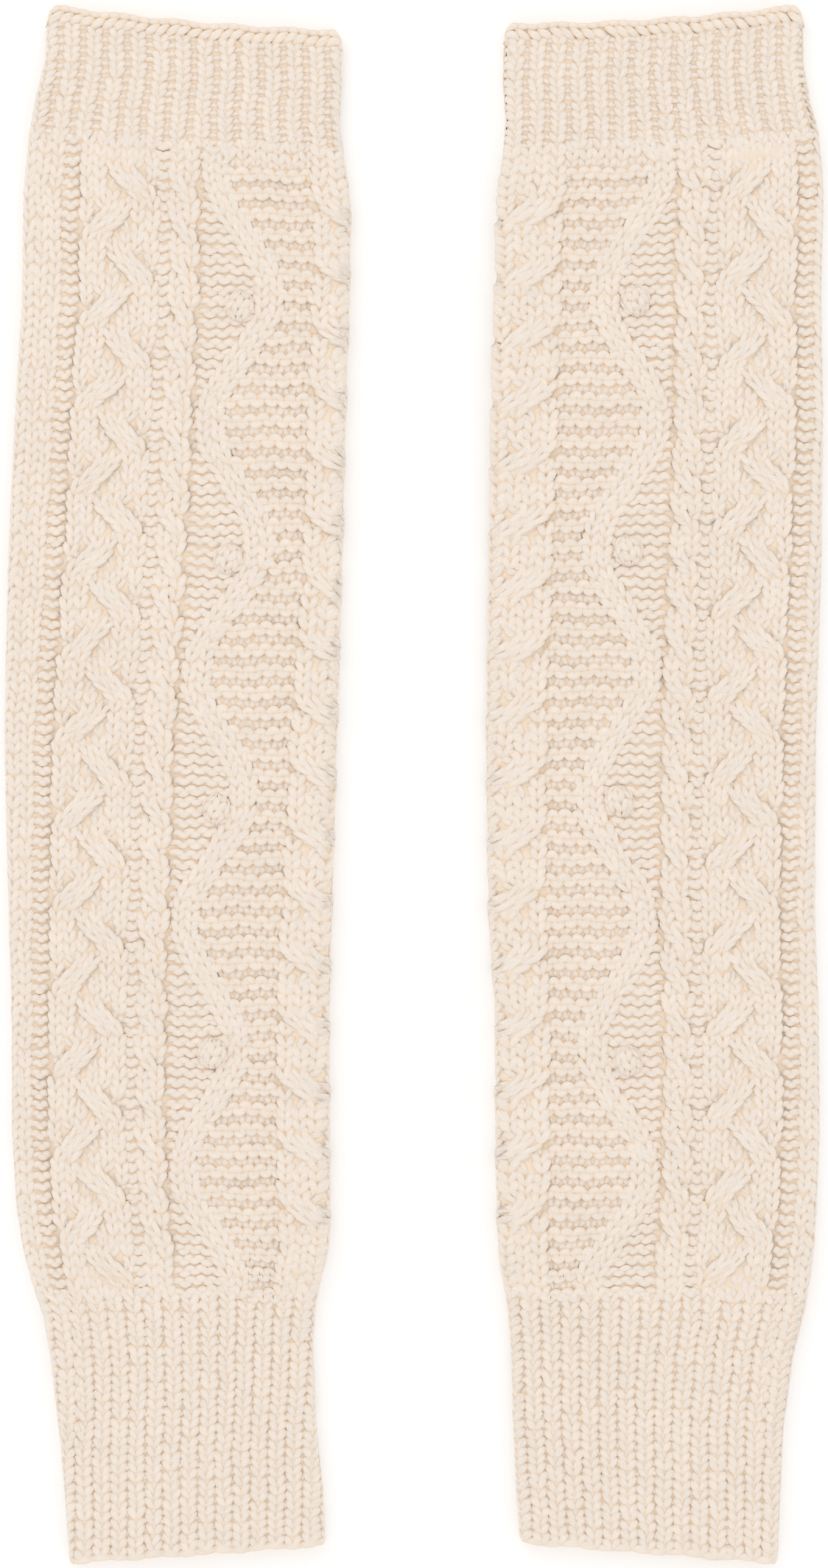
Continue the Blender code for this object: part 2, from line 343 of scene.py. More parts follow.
class Tube:
    """The flattened tube of one arm warmer, which stitches are laid on.

    A place on it is around, along and lift, in millimetres. Around starts at
    the outer fold, runs over the front to the inner fold and comes back
    underneath. Lift is the height above the cloth under the stitches.
    """

    def __init__(self, name, outer_side, turns, dip, rope_front, ribs, bobbles, seed):
        self.name = name
        self.outer_side = outer_side
        self.turns = np.array(turns)
        self.rope_front = rope_front
        self.top_rib, self.cuff_rib = ribs
        self.bobbles = bobbles
        self.seed = seed
        self.read_folds()
        self.dips = np.array([(180.0, 0.0), (215.0, 0.82 * dip), (236.0, dip)])
        self.rest_half = PANEL_WIDTH - 2 * SIDE_RELIEF + (math.pi - 2) * FOLD_CORE

    def read_folds(self):
        """Read the two folds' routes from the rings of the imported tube."""
        lowest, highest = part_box(f"{self.name}_top_rib")
        half_height = (lowest.z + highest.z) / MM / 2
        routes = {part: self.part_folds(part, half_height) for part in TUBE_PARTS}
        self.body_start = (routes["cuff_rib"][-1, 0] + routes["body"][0, 0]) / 2
        self.body_end = (routes["body"][-1, 0] + routes["top_rib"][0, 0]) / 2
        route = np.concatenate([routes[part] for part in TUBE_PARTS])
        self.bottom = route[0, 0] - CUFF_RIM_DEPTH - SEAM / 2
        self.top = route[-1, 0] + TOP_RIM_DEPTH + SEAM / 2
        low = self.carried_on(route[0], route[1], self.bottom)
        high = self.carried_on(route[-1], route[-2], self.top)
        route = np.concatenate([[low], route, [high]])
        self.along, self.left, self.right, self.left_rise, self.right_rise = route.T

    def part_folds(self, part, half_height):
        """Return one part's rows of along, left, right, left rise and right rise."""
        mesh = frame["nodes"][f"{self.name}_{part}"].data
        points = np.empty(len(mesh.vertices) * 3)
        mesh.vertices.foreach_get("co", points)
        points = np.unique((points.reshape(-1, 3) / MM).round(2), axis=0)
        points = points[np.abs(points[:, 2] - half_height) < 0.05]
        centre = (points[:, 0].min() + points[:, 0].max()) / 2
        folds = []
        for side in (-1, 1):
            half = points[(points[:, 0] - centre) * side > 0]
            outermost = []
            for x, y, _ in half:
                beside = half[np.abs(half[:, 1] - y) < 1.2]
                if (side * beside[:, 0]).max() - side * x < 2.0:
                    outermost.append((y, x))
            folds.append(np.array(sorted(outermost)))
        left, right = folds
        if len(left) != len(right):
            raise RuntimeError(f"the folds of {self.name}_{part} don't pair up")
        along = (left[:, 0] + right[:, 0]) / 2
        columns = (along, left[:, 1], right[:, 1], left[:, 0] - along, right[:, 0] - along)
        return np.stack(columns, axis=1)

    def carried_on(self, end, before, along):
        """Return the row that carries two rows on to another place."""
        share = (along - end[0]) / (end[0] - before[0])
        return end + share * (end - before)

    def row_along(self, rows):
        """Return the place along the arm of body rows, counted from the cuff."""
        pitch = (self.body_end - self.body_start) / BODY_ROWS
        return self.body_start + rows * pitch

    def half_round(self, along):
        """Return half the way round the tube."""
        width = np.interp(along, self.along, self.right - self.left) - 2 * SIDE_RELIEF
        return width - 2 * FOLD_CORE + math.pi * FOLD_CORE

    def lane(self, offset, along):
        """Return the place around of a panel lane, from the plait's outer edge."""
        turn = np.interp(along, self.turns[:, 0], self.turns[:, 1])
        quarter = math.pi * FOLD_CORE / 2
        start = turn - SIDE_RELIEF - FOLD_CORE + quarter
        wander = np.sin(0.19 * along + 0.31 * offset + self.seed)
        wander = WANDER * (wander + 0.7 * np.sin(0.43 * along - 0.17 * offset))
        return start + wander + offset * self.half_round(along) / self.rest_half

    def place(self, around, along, lift):
        """Return points in metres for places on the tube."""
        left = np.interp(along, self.along, self.left)
        right = np.interp(along, self.along, self.right)
        run = right - left - 2 * SIDE_RELIEF - 2 * FOLD_CORE
        fold = math.pi * FOLD_CORE
        gone = np.mod(around - fold / 2, 2 * (run + fold))
        angle = np.clip(gone - run, 0, fold) + np.clip(gone - 2 * run - fold, 0, fold)
        angle = angle / FOLD_CORE
        ceiling = BACK_RELIEF + FRONT_ROOM * ((1 + np.cos(angle)) / 2) ** 2
        flatter = 1 - FOLD_FLATTENING * np.sin(angle) ** 2
        raised = np.maximum(lift, 0) * flatter
        pressed = (1 + (raised / ceiling) ** PRESSING) ** (1 / PRESSING)
        radius = FOLD_CORE + raised / pressed + np.minimum(lift, 0)
        across = FOLD_CORE + np.clip(gone, 0, run) - np.clip(gone - run - fold, 0, run)
        across = across + SIDE_RELIEF + radius * np.sin(angle)
        x = left + across if self.outer_side < 0 else right - across
        share = (x - left) / (right - left)
        rises = [np.interp(along, self.along, c) for c in (self.left_rise, self.right_rise)]
        y = along + rises[0] + share * (rises[1] - rises[0])
        y = y + 1.5 * WANDER * np.sin(0.37 * across + 0.11 * along + self.seed)
        y = y - 4 * share * (1 - share) * np.interp(along, self.dips[:, 0], self.dips[:, 1])
        edge = np.minimum(across, right - left - across)
        for end, corner, inwards in ((self.top, TOP_CORNER, -1), (self.bottom, CUFF_CORNER, 1)):
            short = np.clip(corner - edge, 0, corner)
            drop = corner - np.sqrt(corner**2 - short**2)
            y = y + inwards * drop * smooth(1 - np.abs(end - along) / (2.2 * corner))
        z = MIDDLE + radius * np.cos(angle)
        return np.stack([x, y, z], axis=-1) * MM


class Yarns:
    """Lengths of yarn collected in cloth places, then made into one mesh."""

    def __init__(self, tube):
        self.place = tube.place
        self.points = []
        self.faces = []
        self.marks = []
        self.flats = []
        self.count = 0
        self.laid = 0
        self.mirrored = tube.outer_side > 0

    def on(self, place):
        """Lay what comes next by another rule for places."""
        self.place = place
        return self

    def add(self, line, half_width, half_height, section, chance, shade_sink=0.0):
        """Add yarns: line is (yarn, step, place), the halves are (yarn, step).

        The last argument is how much deeper than its own crown a yarn counts as lying, which gives it
        more painted shade.
        """
        yarns, steps, _ = line.shape
        around = len(section)
        step = np.gradient(line, axis=1)
        level = np.hypot(step[..., 0], step[..., 1])[..., None] + 1e-9
        side = np.stack([step[..., 1], -step[..., 0]], axis=-1) / level
        points = np.repeat(line[:, :, None, :], around, axis=2)
        points[..., :2] += side[:, :, None, :] * (half_width[..., None] * np.cos(section))[..., None]
        points[..., 2] += half_height[..., None] * np.sin(section)
        hop = np.linalg.norm(np.diff(line, axis=1, prepend=line[:, :1]), axis=2)
        run = np.cumsum(hop, axis=1)[..., None] + 0.0 * section
        marks = np.stack(
            [
                run,
                np.broadcast_to(section / math.pi, run.shape),
                np.broadcast_to(chance[:, None, None], run.shape),
            ],
            axis=-1,
        )
        self.points.append(self.place(points[..., 0], points[..., 1], points[..., 2]).reshape(-1, 3))
        # Depth below the yarn's crown sets its painted shade: a warmer, darker tint deeper down, where
        # less light falls
        crown = (line[..., 2] + half_height).max(axis=1)
        depth = points[..., 2] - crown[:, None, None] - shade_sink
        self.marks.append(np.concatenate([marks, depth[..., None]], axis=-1).reshape(-1, 4))
        index = np.arange(yarns * steps * around).reshape(yarns, steps, around) + self.count
        here = index[:, :-1, :-1]
        ahead = index[:, 1:, :-1]
        both = index[:, 1:, 1:]
        beside = index[:, :-1, 1:]
        order = (here, beside, both, ahead) if self.mirrored else (here, ahead, both, beside)
        self.faces.append(np.stack(order, axis=-1).reshape(-1, 4))
        self.count += yarns * steps * around
        flat = np.empty((yarns, steps, around, 3))
        flat[..., 0] = np.arange(yarns)[:, None, None] + self.laid
        flat[..., 1] = np.linspace(0.0, 1.0, steps)[:, None]
        flat[..., 2] = np.linspace(0.0, 1.0, around)
        self.flats.append(flat.reshape(-1, 3))
        self.laid += yarns

    def build(self, name, material, slot):
        """Return the mesh object of all the yarns."""
        points = np.concatenate(self.points)
        faces = np.concatenate(self.faces)
        marks = np.concatenate(self.marks)
        yarn, lengthwise, across = np.concatenate(self.flats).T
        cells = math.ceil(math.sqrt(self.laid))
        flat = np.stack([yarn % cells, yarn // cells], axis=-1) + 0.5
        flat = (flat + 0.84 * (np.stack([lengthwise, across], axis=-1) - 0.5)) / cells
        obj = grid_object(name, points, faces, flat[faces.ravel()], material)
        yarn = obj.data.attributes.new("yarn", "FLOAT_VECTOR", "POINT")
        yarn.data.foreach_set("vector", marks[:, :3].astype(np.float32).ravel())
        depth = obj.data.attributes.new("depth", "FLOAT", "POINT")
        depth.data.foreach_set("value", marks[:, 3].astype(np.float32))
        return obj


def grid_object(name, points, faces, flat, material):
    """Make a smooth mesh from points in metres, four-sided faces and its flat map."""
    mesh = bpy.data.meshes.new(name)
    mesh.vertices.add(len(points))
    mesh.vertices.foreach_set("co", points.astype(np.float32).ravel())
    mesh.loops.add(faces.size)
    mesh.loops.foreach_set("vertex_index", faces.astype(np.int32).ravel())
    mesh.polygons.add(len(faces))
    mesh.polygons.foreach_set("loop_start", np.arange(0, faces.size, 4, dtype=np.int32))
    mesh.update(calc_edges=True)
    mesh.shade_smooth()
    layer = mesh.uv_layers.new(name="OFBake")
    layer.uv.foreach_set("vector", flat.astype(np.float32).ravel())
    mesh.materials.append(material)
    obj = bpy.data.objects.new(name, mesh)
    bpy.context.scene.collection.objects.link(obj)
    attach(obj, "root")
    return obj


def level(value):
    """Return a path or rise that keeps to one value at every row."""
    return lambda at: value + 0 * at


def body_rows():
    """Return the middle of every body row."""
    return np.arange(BODY_ROWS) + 0.5


# How a knit stitch's leg spreads, swells and rises from its foot to its head
LEG_SPREAD = np.array([(0.0, 0.03), (0.22, 0.09), (0.5, 0.26), (0.78, 0.39), (1.0, 0.36)])
LEG_SWELL = np.array([(0.0, 0.50), (0.2, 0.85), (0.5, 1.0), (0.8, 0.98), (1.0, 0.65)])
LEG_RISE = np.array([(0.0, -1.7), (0.2, -0.30), (0.4, 0.10), (0.6, 0.20), (0.8, 0.0), (1.0, -1.5)])

# One kind of knit leg: rings along it, its section, how far it reaches below and
# above its row, in rows, its half width as a share of the stitch, and its rise
Leg = namedtuple("Leg", "steps section reach fullness height")
PANEL_LEG = Leg(6, FULL_YARN, (-0.84, 0.80), 0.300, 0.50)
STRAND_LEG = Leg(6, FULL_YARN, (-0.86, 0.84), 0.305, 0.50)
RIB_LEG = Leg(6, FULL_YARN, (-0.90, 0.80), 0.270, 0.55)
BACK_LEG = Leg(3, LIGHT_YARN, (-0.74, 0.70), 0.330, 0.50)
BACK_RIB_LEG = Leg(3, LIGHT_YARN, (-0.90, 0.80), 0.320, 0.55)
RECESS_LEG = Leg(5, FULL_YARN, (-0.9, 0.9), 0.275, 0.45)

# One kind of purl bump: rings along it, its section, its half thickness, how far
# its crown lies from the row's line, its lift, and how far its ends sink
Bump = namedtuple("Bump", "steps section half crown lift sink")
GROUND_BUMP = Bump(6, FULL_YARN, 1.28, 0.60, 0.75, 0.45)
LADDER_BUMP = Bump(6, FULL_YARN, 1.25, 0.45, 0.75, 0.50)
SINGLE_BUMP = Bump(6, FULL_YARN, 1.25, 0.50, 1.30, 0.45)
GARTER_BUMP = Bump(7, FULL_YARN, 1.46, 1.20, 1.10, 0.60)
RIB_BUMP = Bump(5, LIGHT_YARN, 0.95, 0.35, 0.55, 0.45)
BUMP_SWELL = np.array([(0.0, 0.60), (0.25, 0.94), (0.5, 1.0), (0.75, 0.94), (1.0, 0.60)])

# The steepest lean of a leg, how much longer it grows as it leans, and how far it
# strays: in rows, in widths and in millimetres of lift
STEEPEST = 1.3
STRETCH = 0.5
LEG_NUDGE = np.array([0.10, 0.035, 0.07])

# Rows kept clear of crossings at the body's ends, rows over which cables settle
# there, and the lift in millimetres that they settle to
END_ROWS = 2.5
SETTLE_ROWS = 4.0
END_LIFT = 0.55


def column(table, t):
    """Read a two-column table at t."""
    return np.interp(t, table[:, 0], table[:, 1])


def knit_legs(yarns, rng, rows, width, path, rise, along_of, place_of, leg=PANEL_LEG):
    """Lay the two legs of the knit stitch in each of these rows.

    path and rise turn rows into offsets and lifts. along_of and place_of turn
    rows and offsets into places along and around.
    """
    count = len(rows)
    t = np.linspace(0.0, 1.0, leg.steps)
    nudge = rng.normal(0.0, 1.0, (count, 3)) * LEG_NUDGE
    swell = 1.0 + 0.08 * rng.standard_normal((count, 1))
    chance = rng.random(count)
    middle = rows[:, None] + nudge[:, :1]
    lean = (path(middle + 0.1) - path(middle - 0.1)) / (along_of(middle + 0.1) - along_of(middle - 0.1))
    lean = np.clip(lean, -STEEPEST, STEEPEST)
    upright = 1.0 / np.sqrt(1.0 + lean**2)
    stretch = 1.0 + STRETCH * (1.0 - upright)
    at = middle + (leg.reach[0] + (leg.reach[1] - leg.reach[0]) * t) * stretch
    centre = path(at) + nudge[:, 1:2] * width
    thick = column(LEG_SWELL, t) * swell * (0.55 + 0.45 * upright)
    lift = rise(at) + leg.height * column(LEG_RISE, t) + nudge[:, 2:]
    for side in (-1.0, 1.0):
        spread = side * column(LEG_SPREAD, t) * width * upright**1.6
        along = along_of(at) - spread * lean
        around = place_of(centre + spread, along)
        line = np.stack([around, along, lift], axis=-1)
        half_width = leg.fullness * width * thick
        half_height = np.maximum(0.66 * half_width, 0.5 * thick)
        yarns.add(line, half_width, half_height, leg.section, (chance + 0.37 * side) % 1.0)


def purl_bumps(yarns, rng, rows, offsets, width, along_of, place_of, kind=GROUND_BUMP,
               crowns=(1, -1), tilt=0.0):
    """Lay each purl stitch as a bump over the row's line and one below, beside it."""
    count = len(rows)
    t = np.linspace(-0.5, 0.5, kind.steps)
    swell = column(BUMP_SWELL, t + 0.5)
    for crown in crowns:
        beside = 0.5 * width if crown < 0 and len(crowns) > 1 else 0.0
        nudge = rng.normal(0.0, 0.12, (count, 3))
        bow = kind.crown * (1.0 - 1.5 * (2 * t) ** 2)
        along = along_of(rows[:, None]) + crown * bow + tilt * t + nudge[:, :1]
        centre = offsets[:, None] + beside + nudge[:, 1:2]
        around = place_of(centre + 1.08 * width * t, along)
        lift = kind.lift + nudge[:, 2:] - kind.sink * (2 * t) ** 2 + 0 * along
        line = np.stack([around, along, lift], axis=-1)
        half = kind.half * swell * (1.0 + 0.07 * rng.standard_normal((count, 1)))
        yarns.add(line, half, 0.68 * half, kind.section, rng.random(count))


class Braid:
    """Strands of knit stitches that pass over each other at crossings."""

    def __init__(self, strands, stitches, crossings, span):
        self.strands = strands
        self.stitches = stitches
        self.span = span
        self.moves = [[] for _ in range(strands)]
        order = list(range(strands))
        for crossing in crossings:
            low = crossing.slot
            for start, end in ((low, low + 1), (low + 1, low)):
                in_front = start == crossing.front_from
                self.moves[order[start]].append((crossing.row, end - start, in_front))
            order[low], order[low + 1] = order[low + 1], order[low]

    def place(self, strand, stitch, rows):
        """Return a stitch's place, in strands, at these rows.

        The stitches of a strand that passes below spread out under the other.
        """
        within = (stitch + 0.5) / self.stitches
        place = strand + within + 0.0 * rows
        for row, shift, in_front in self.moves[strand]:
            late = 0.0 if in_front else UNDER_SPREAD * shift * (0.5 - within)
            span = self.span if in_front else UNDER_SPAN * self.span
            place = place + shift * smooth((rows - row - late) / span + 0.5)
        return place

    def middle(self, strand, rows):
        """Return the place of a strand's middle, in strands, at these rows."""
        places = [self.place(strand, stitch, rows) for stitch in range(self.stitches)]
        return sum(places) / self.stitches

    def rise(self, strand, rows, over, under):
        """Return how far a strand stands over its neighbours or dives below."""
        lift = 0.0 * rows
        for row, _, in_front in self.moves[strand]:
            hill = bump((rows - row) / (0.5 * self.span + 0.9))
            lift = lift + hill * (over if in_front else -under)
        return lift


def every(twist):
    """Return the rows of a cable's crossings inside the body, clear of its ends."""
    found = [twist.first + twist.repeat * n for n in range(BODY_ROWS)]
    return [row for row in found if END_ROWS < row < BODY_ROWS - END_ROWS]


def settled(at, lift):
    """Return a lift that settles to the ribs' height near the body's ends."""
    inside = smooth(np.minimum(at, BODY_ROWS - at) / SETTLE_ROWS)
    return END_LIFT + (lift - END_LIFT) * inside


def lay_core(yarns, path, rise, along_of, place_of, half_width, ends):
    """Lay a smooth core under a strand, which fills in between its stitches."""
    at = np.linspace(ends[0], ends[1], 2 * round(ends[1] - ends[0]) + 1)[None]
    along = along_of(at)
    around = place_of(path(at), along)
    line = np.stack([around, along, rise(at) + CORE_TOP - CORE_HALF_HEIGHT], axis=-1)
    ones = np.ones_like(at)
    yarns.add(line, half_width * ones, CORE_HALF_HEIGHT * ones, CORE_SECTION,
              np.array([0.5]), CORE_SHADE_SINK)


def lay_cable(yarns, rng, tube, braid, start, width, lift, over, under):
    """Lay the strands of a cable."""
    strand_width = width / braid.strands
    rows = body_rows()
    for strand in range(braid.strands):
        lay_core(
            yarns,
            lambda at: start + braid.middle(strand, at) * strand_width,
            lambda at: settled(at, lift + STRAND_CROWN + braid.rise(strand, at, over, under)),
            tube.row_along, tube.lane, 0.43 * strand_width, (0.0, BODY_ROWS))
        for stitch in range(braid.stitches):
            from_middle = (stitch + 0.5) / braid.stitches * 2 - 1
            crown = STRAND_CROWN * (1 - from_middle**2)

            def path(at, strand=strand, stitch=stitch):
                return start + braid.place(strand, stitch, at) * strand_width

            def rise(at, strand=strand, crown=crown):
                return settled(at, lift + crown + braid.rise(strand, at, over, under))

            knit_legs(yarns, rng, rows, strand_width / braid.stitches, path, rise,
                      tube.row_along, tube.lane, STRAND_LEG)


def line_centre(rows):
    """Return the travelling line's distance from the rope at these rows."""
    half = LINE_REPEAT / 2
    from_far = half - np.abs(np.mod(rows, LINE_REPEAT) - half)
    gone = np.clip((from_far - LINE_HOLD) / (half - 2 * LINE_HOLD), 0, 1)
    eased = 0.6 * gone + 0.4 * smooth(gone)
    return GROUND_START + LINE_FAR + (LINE_NEAR - LINE_FAR) * eased


TUBES = {}


def tubes():
    """Return the two arm warmers' forms, read from the frame once."""
    if not TUBES:
        left_ribs = (LEFT_TOP_RIB, LEFT_CUFF_RIB)
        right_ribs = (RIGHT_TOP_RIB, RIGHT_CUFF_RIB)
        TUBES["left"] = Tube("left", -1, LEFT_TURNS, dip=1.4, rope_front=1, ribs=left_ribs,
                             bobbles=LEFT_BOBBLES, seed=11)
        TUBES["right"] = Tube("right", 1, RIGHT_TURNS, dip=1.7, rope_front=0, ribs=right_ribs,
                              bobbles=RIGHT_BOBBLES, seed=23)
    return TUBES.values()


# ---------------------------------------------------------------- materials


def new_group(name, inputs, outputs):
    """Return an empty shader node group with these sockets."""
    group = bpy.data.node_groups.new(name, "ShaderNodeTree")
    for label, kind in inputs:
        group.interface.new_socket(label, in_out="INPUT", socket_type=kind)
    for label, kind in outputs:
        group.interface.new_socket(label, in_out="OUTPUT", socket_type=kind)
    return group


def math_node(nodes, links, operation, first, second=None, third=None):
    """Add a Math node fed by sockets or numbers and return its output."""
    node = nodes.new("ShaderNodeMath")
    node.operation = operation
    for socket, value in zip(node.inputs, (first, second, third)):
        if isinstance(value, bpy.types.NodeSocket):
            links.new(value, socket)
        elif value is not None:
            socket.default_value = value
    return node.outputs[0]


def spun_yarn_group():
    """Build the relief of spun wool: plies that twist, and fine fibres."""
    group = bpy.data.node_groups.get("Spun yarn")
    if group:
        return group
    group = new_group(
        "Spun yarn",
        (("Yarn", "NodeSocketVector"), ("Plies", "NodeSocketFloat"), ("Twist", "NodeSocketFloat")),
        (("Height", "NodeSocketFloat"), ("Streak", "NodeSocketFloat")),
    )
    nodes, links = group.nodes, group.links
    source = nodes.new("NodeGroupInput")
    result = nodes.new("NodeGroupOutput")
    split = nodes.new("ShaderNodeSeparateXYZ")
    links.new(source.outputs["Yarn"], split.inputs[0])
    run, across, chance = split.outputs

    turned = math_node(nodes, links, "MULTIPLY", run, source.outputs["Twist"])
    phase = math_node(nodes, links, "MULTIPLY_ADD", across, source.outputs["Plies"], turned)
    phase = math_node(nodes, links, "MULTIPLY_ADD", chance, 9.0, phase)
    ply = math_node(nodes, links, "SINE", phase)
    ply = math_node(nodes, links, "MULTIPLY_ADD", ply, 0.5, 0.5)
    ply = math_node(nodes, links, "POWER", ply, 0.6)

    skew = math_node(nodes, links, "MULTIPLY_ADD", run, 0.22, across)
    place = nodes.new("ShaderNodeCombineXYZ")
    links.new(math_node(nodes, links, "MULTIPLY", run, 0.30), place.inputs[0])
    links.new(math_node(nodes, links, "MULTIPLY", skew, 7.0), place.inputs[1])
    links.new(math_node(nodes, links, "MULTIPLY", chance, 61.0), place.inputs[2])
    fibre = nodes.new("ShaderNodeTexNoise")
    fibre.inputs["Scale"].default_value = 1.6
    fibre.inputs["Detail"].default_value = 3.0
    fibre.inputs["Roughness"].default_value = 0.65
    links.new(place.outputs[0], fibre.inputs["Vector"])

    coords = nodes.new("ShaderNodeTexCoord")
    fuzz = nodes.new("ShaderNodeTexNoise")
    fuzz.inputs["Scale"].default_value = 2600.0
    fuzz.inputs["Detail"].default_value = 2.0
    links.new(coords.outputs["Object"], fuzz.inputs["Vector"])

    height = math_node(nodes, links, "MULTIPLY", ply, 0.45)
    height = math_node(nodes, links, "MULTIPLY_ADD", fibre.outputs[0], 0.9, height)
    height = math_node(nodes, links, "MULTIPLY_ADD", fuzz.outputs[0], 0.22, height)
    links.new(height, result.inputs["Height"])
    streak = math_node(nodes, links, "MULTIPLY", fibre.outputs[0], 0.75)
    streak = math_node(nodes, links, "MULTIPLY_ADD", fuzz.outputs[0], 0.25, streak)
    links.new(streak, result.inputs["Streak"])
    return group


def tone_and_painted_shade_group():
    """Build wool's colour: paler on top, with painted shade (a warmer, darker tint) between the stitches,
    and random tone and fibre streaks.
    """
    group = bpy.data.node_groups.get("Wool tone and painted shade")
    if group:
        return group
    group = new_group(
        "Wool tone and painted shade",
        (
            ("Pale", "NodeSocketColor"),
            ("Deep", "NodeSocketColor"),
            ("Depth", "NodeSocketFloat"),
            ("Chance", "NodeSocketFloat"),
            ("Streak", "NodeSocketFloat"),
        ),
        (("Color", "NodeSocketColor"),),
    )
    nodes, links = group.nodes, group.links
    source = nodes.new("NodeGroupInput")
    result = nodes.new("NodeGroupOutput")
    # Painted shade: the colour turns from pale to the warm, darker tint as the depth below the crown
    # grows
    ramp = nodes.new("ShaderNodeMapRange")
    ramp.interpolation_type = "SMOOTHSTEP"
    ramp.inputs["From Min"].default_value = -FULL_SHADE_DEPTH
    ramp.inputs["From Max"].default_value = 0.0
    links.new(source.outputs["Depth"], ramp.inputs["Value"])
    mix = nodes.new("ShaderNodeMix")
    mix.data_type = "RGBA"
    links.new(ramp.outputs[0], mix.inputs[0])
    links.new(source.outputs["Deep"], mix.inputs[6])
    links.new(source.outputs["Pale"], mix.inputs[7])

    clouds = nodes.new("ShaderNodeTexNoise")
    clouds.inputs["Scale"].default_value = 55.0
    clouds.inputs["Detail"].default_value = 3.0
    coords = nodes.new("ShaderNodeTexCoord")
    links.new(coords.outputs["Object"], clouds.inputs["Vector"])
    value = math_node(nodes, links, "MULTIPLY_ADD", source.outputs["Chance"], 0.035, 0.80)
    value = math_node(nodes, links, "MULTIPLY_ADD", source.outputs["Streak"], 0.36, value)
    value = math_node(nodes, links, "MULTIPLY_ADD", clouds.outputs[0], 0.06, value)
    shade = nodes.new("ShaderNodeHueSaturation")
    links.new(mix.outputs[2], shade.inputs["Color"])
    links.new(value, shade.inputs["Value"])
    links.new(shade.outputs[0], result.inputs["Color"])
    return group


def wool_material(name, look, shade_scale=1.0):
    """Return matt cream wool with visible plies and fibres, and painted shade between its stitches."""
    material = bpy.data.materials.get(name)
    if material:
        return material
    material = bpy.data.materials.new(name)
    material.use_nodes = True
    nodes, links = material.node_tree.nodes, material.node_tree.links
    shader = nodes["Principled BSDF"]
    shader.inputs["Roughness"].default_value = look.roughness
    shader.inputs["Specular IOR Level"].default_value = 0.15
    shader.inputs["Sheen Weight"].default_value = look.sheen
    shader.inputs["Sheen Roughness"].default_value = 0.55
    shader.inputs["Sheen Tint"].default_value = (1.0, 0.96, 0.9, 1.0)

    yarn = nodes.new("ShaderNodeAttribute")
    yarn.attribute_name = "yarn"
    depth = nodes.new("ShaderNodeAttribute")
    depth.attribute_name = "depth"
    split = nodes.new("ShaderNodeSeparateXYZ")
    links.new(yarn.outputs["Vector"], split.inputs[0])

    spun = nodes.new("ShaderNodeGroup")
    spun.node_tree = spun_yarn_group()
    spun.inputs["Plies"].default_value = 9.0
    spun.inputs["Twist"].default_value = 1.3
    links.new(yarn.outputs["Vector"], spun.inputs["Yarn"])

    shade = nodes.new("ShaderNodeGroup")
    shade.node_tree = tone_and_painted_shade_group()
    shade.inputs["Pale"].default_value = (*look.pale, 1.0)
    # The painted shade tint, scaled by the last argument
    shade.inputs["Deep"].default_value = (*(shade_scale * c for c in look.painted_shade), 1.0)
    links.new(depth.outputs["Fac"], shade.inputs["Depth"])
    links.new(split.outputs[2], shade.inputs["Chance"])
    links.new(spun.outputs["Streak"], shade.inputs["Streak"])
    links.new(shade.outputs[0], shader.inputs["Base Color"])

    relief = nodes.new("ShaderNodeBump")
    relief.inputs["Strength"].default_value = look.fibre_relief
    relief.inputs["Distance"].default_value = 0.35 * MM
    links.new(spun.outputs["Height"], relief.inputs["Height"])
    links.new(relief.outputs[0], shader.inputs["Normal"])
    return material


def floor_material(colour):
    """Return the plain pale floor's material."""
    material = bpy.data.materials.new("floor_paper")
    material.use_nodes = True
    shader = material.node_tree.nodes["Principled BSDF"]
    shader.inputs["Base Color"].default_value = (*colour, 1.0)
    shader.inputs["Emission Color"].default_value = (1.0, 1.0, 1.0, 1.0)
    shader.inputs["Emission Strength"].default_value = FLOOR_GLOW
    shader.inputs["Roughness"].default_value = 1.0
    shader.inputs["Specular IOR Level"].default_value = 0.0
    return material


# ------------------------------------------------------------------ settings


class KNIT_PG_sizes(bpy.types.PropertyGroup):
    """Sizes of the stitches that a knitter would change."""

    cable_height: FloatProperty(
        name="Cable height", description="How far the cables stand above the purl ground, in mm",
        default=1.45, min=0.5, max=3.0)
    crossing_height: FloatProperty(
        name="Crossing height", description="How far a strand rises where it passes over, in mm",
        default=1.0, min=0.2, max=2.0)
    rib_height: FloatProperty(
        name="Rib height", description="How far the ribs stand above the cloth, in mm",
        default=0.75, min=0.2, max=2.0)


class KNIT_PG_look(bpy.types.PropertyGroup):
    """Colours and finish of the wool, and the painted shade between its stitches."""

    pale: FloatVectorProperty(
        name="Pale wool", description="Colour on top of the stitches", subtype="COLOR",
        size=3, default=(0.945, 0.848, 0.755), min=0.0, max=1.0)
    # Painted shade: the warmer, darker tint laid where a yarn lies deep below its crown
    painted_shade: FloatVectorProperty(
        name="Painted shade", description="Painted shade between the stitches", subtype="COLOR",
        size=3, default=(0.955, 0.80, 0.64), min=0.0, max=1.0)
    roughness: FloatProperty(
        name="Roughness", description="How matt the wool is", default=0.92, min=0.0, max=1.0)
    sheen: FloatProperty(
        name="Nap", description="How much the wool's nap catches light", default=0.35,
        min=0.0, max=1.0)
    fibre_relief: FloatProperty(
        name="Fibre relief", description="How strongly plies and fibres stand out",
        default=0.55, min=0.0, max=1.0)


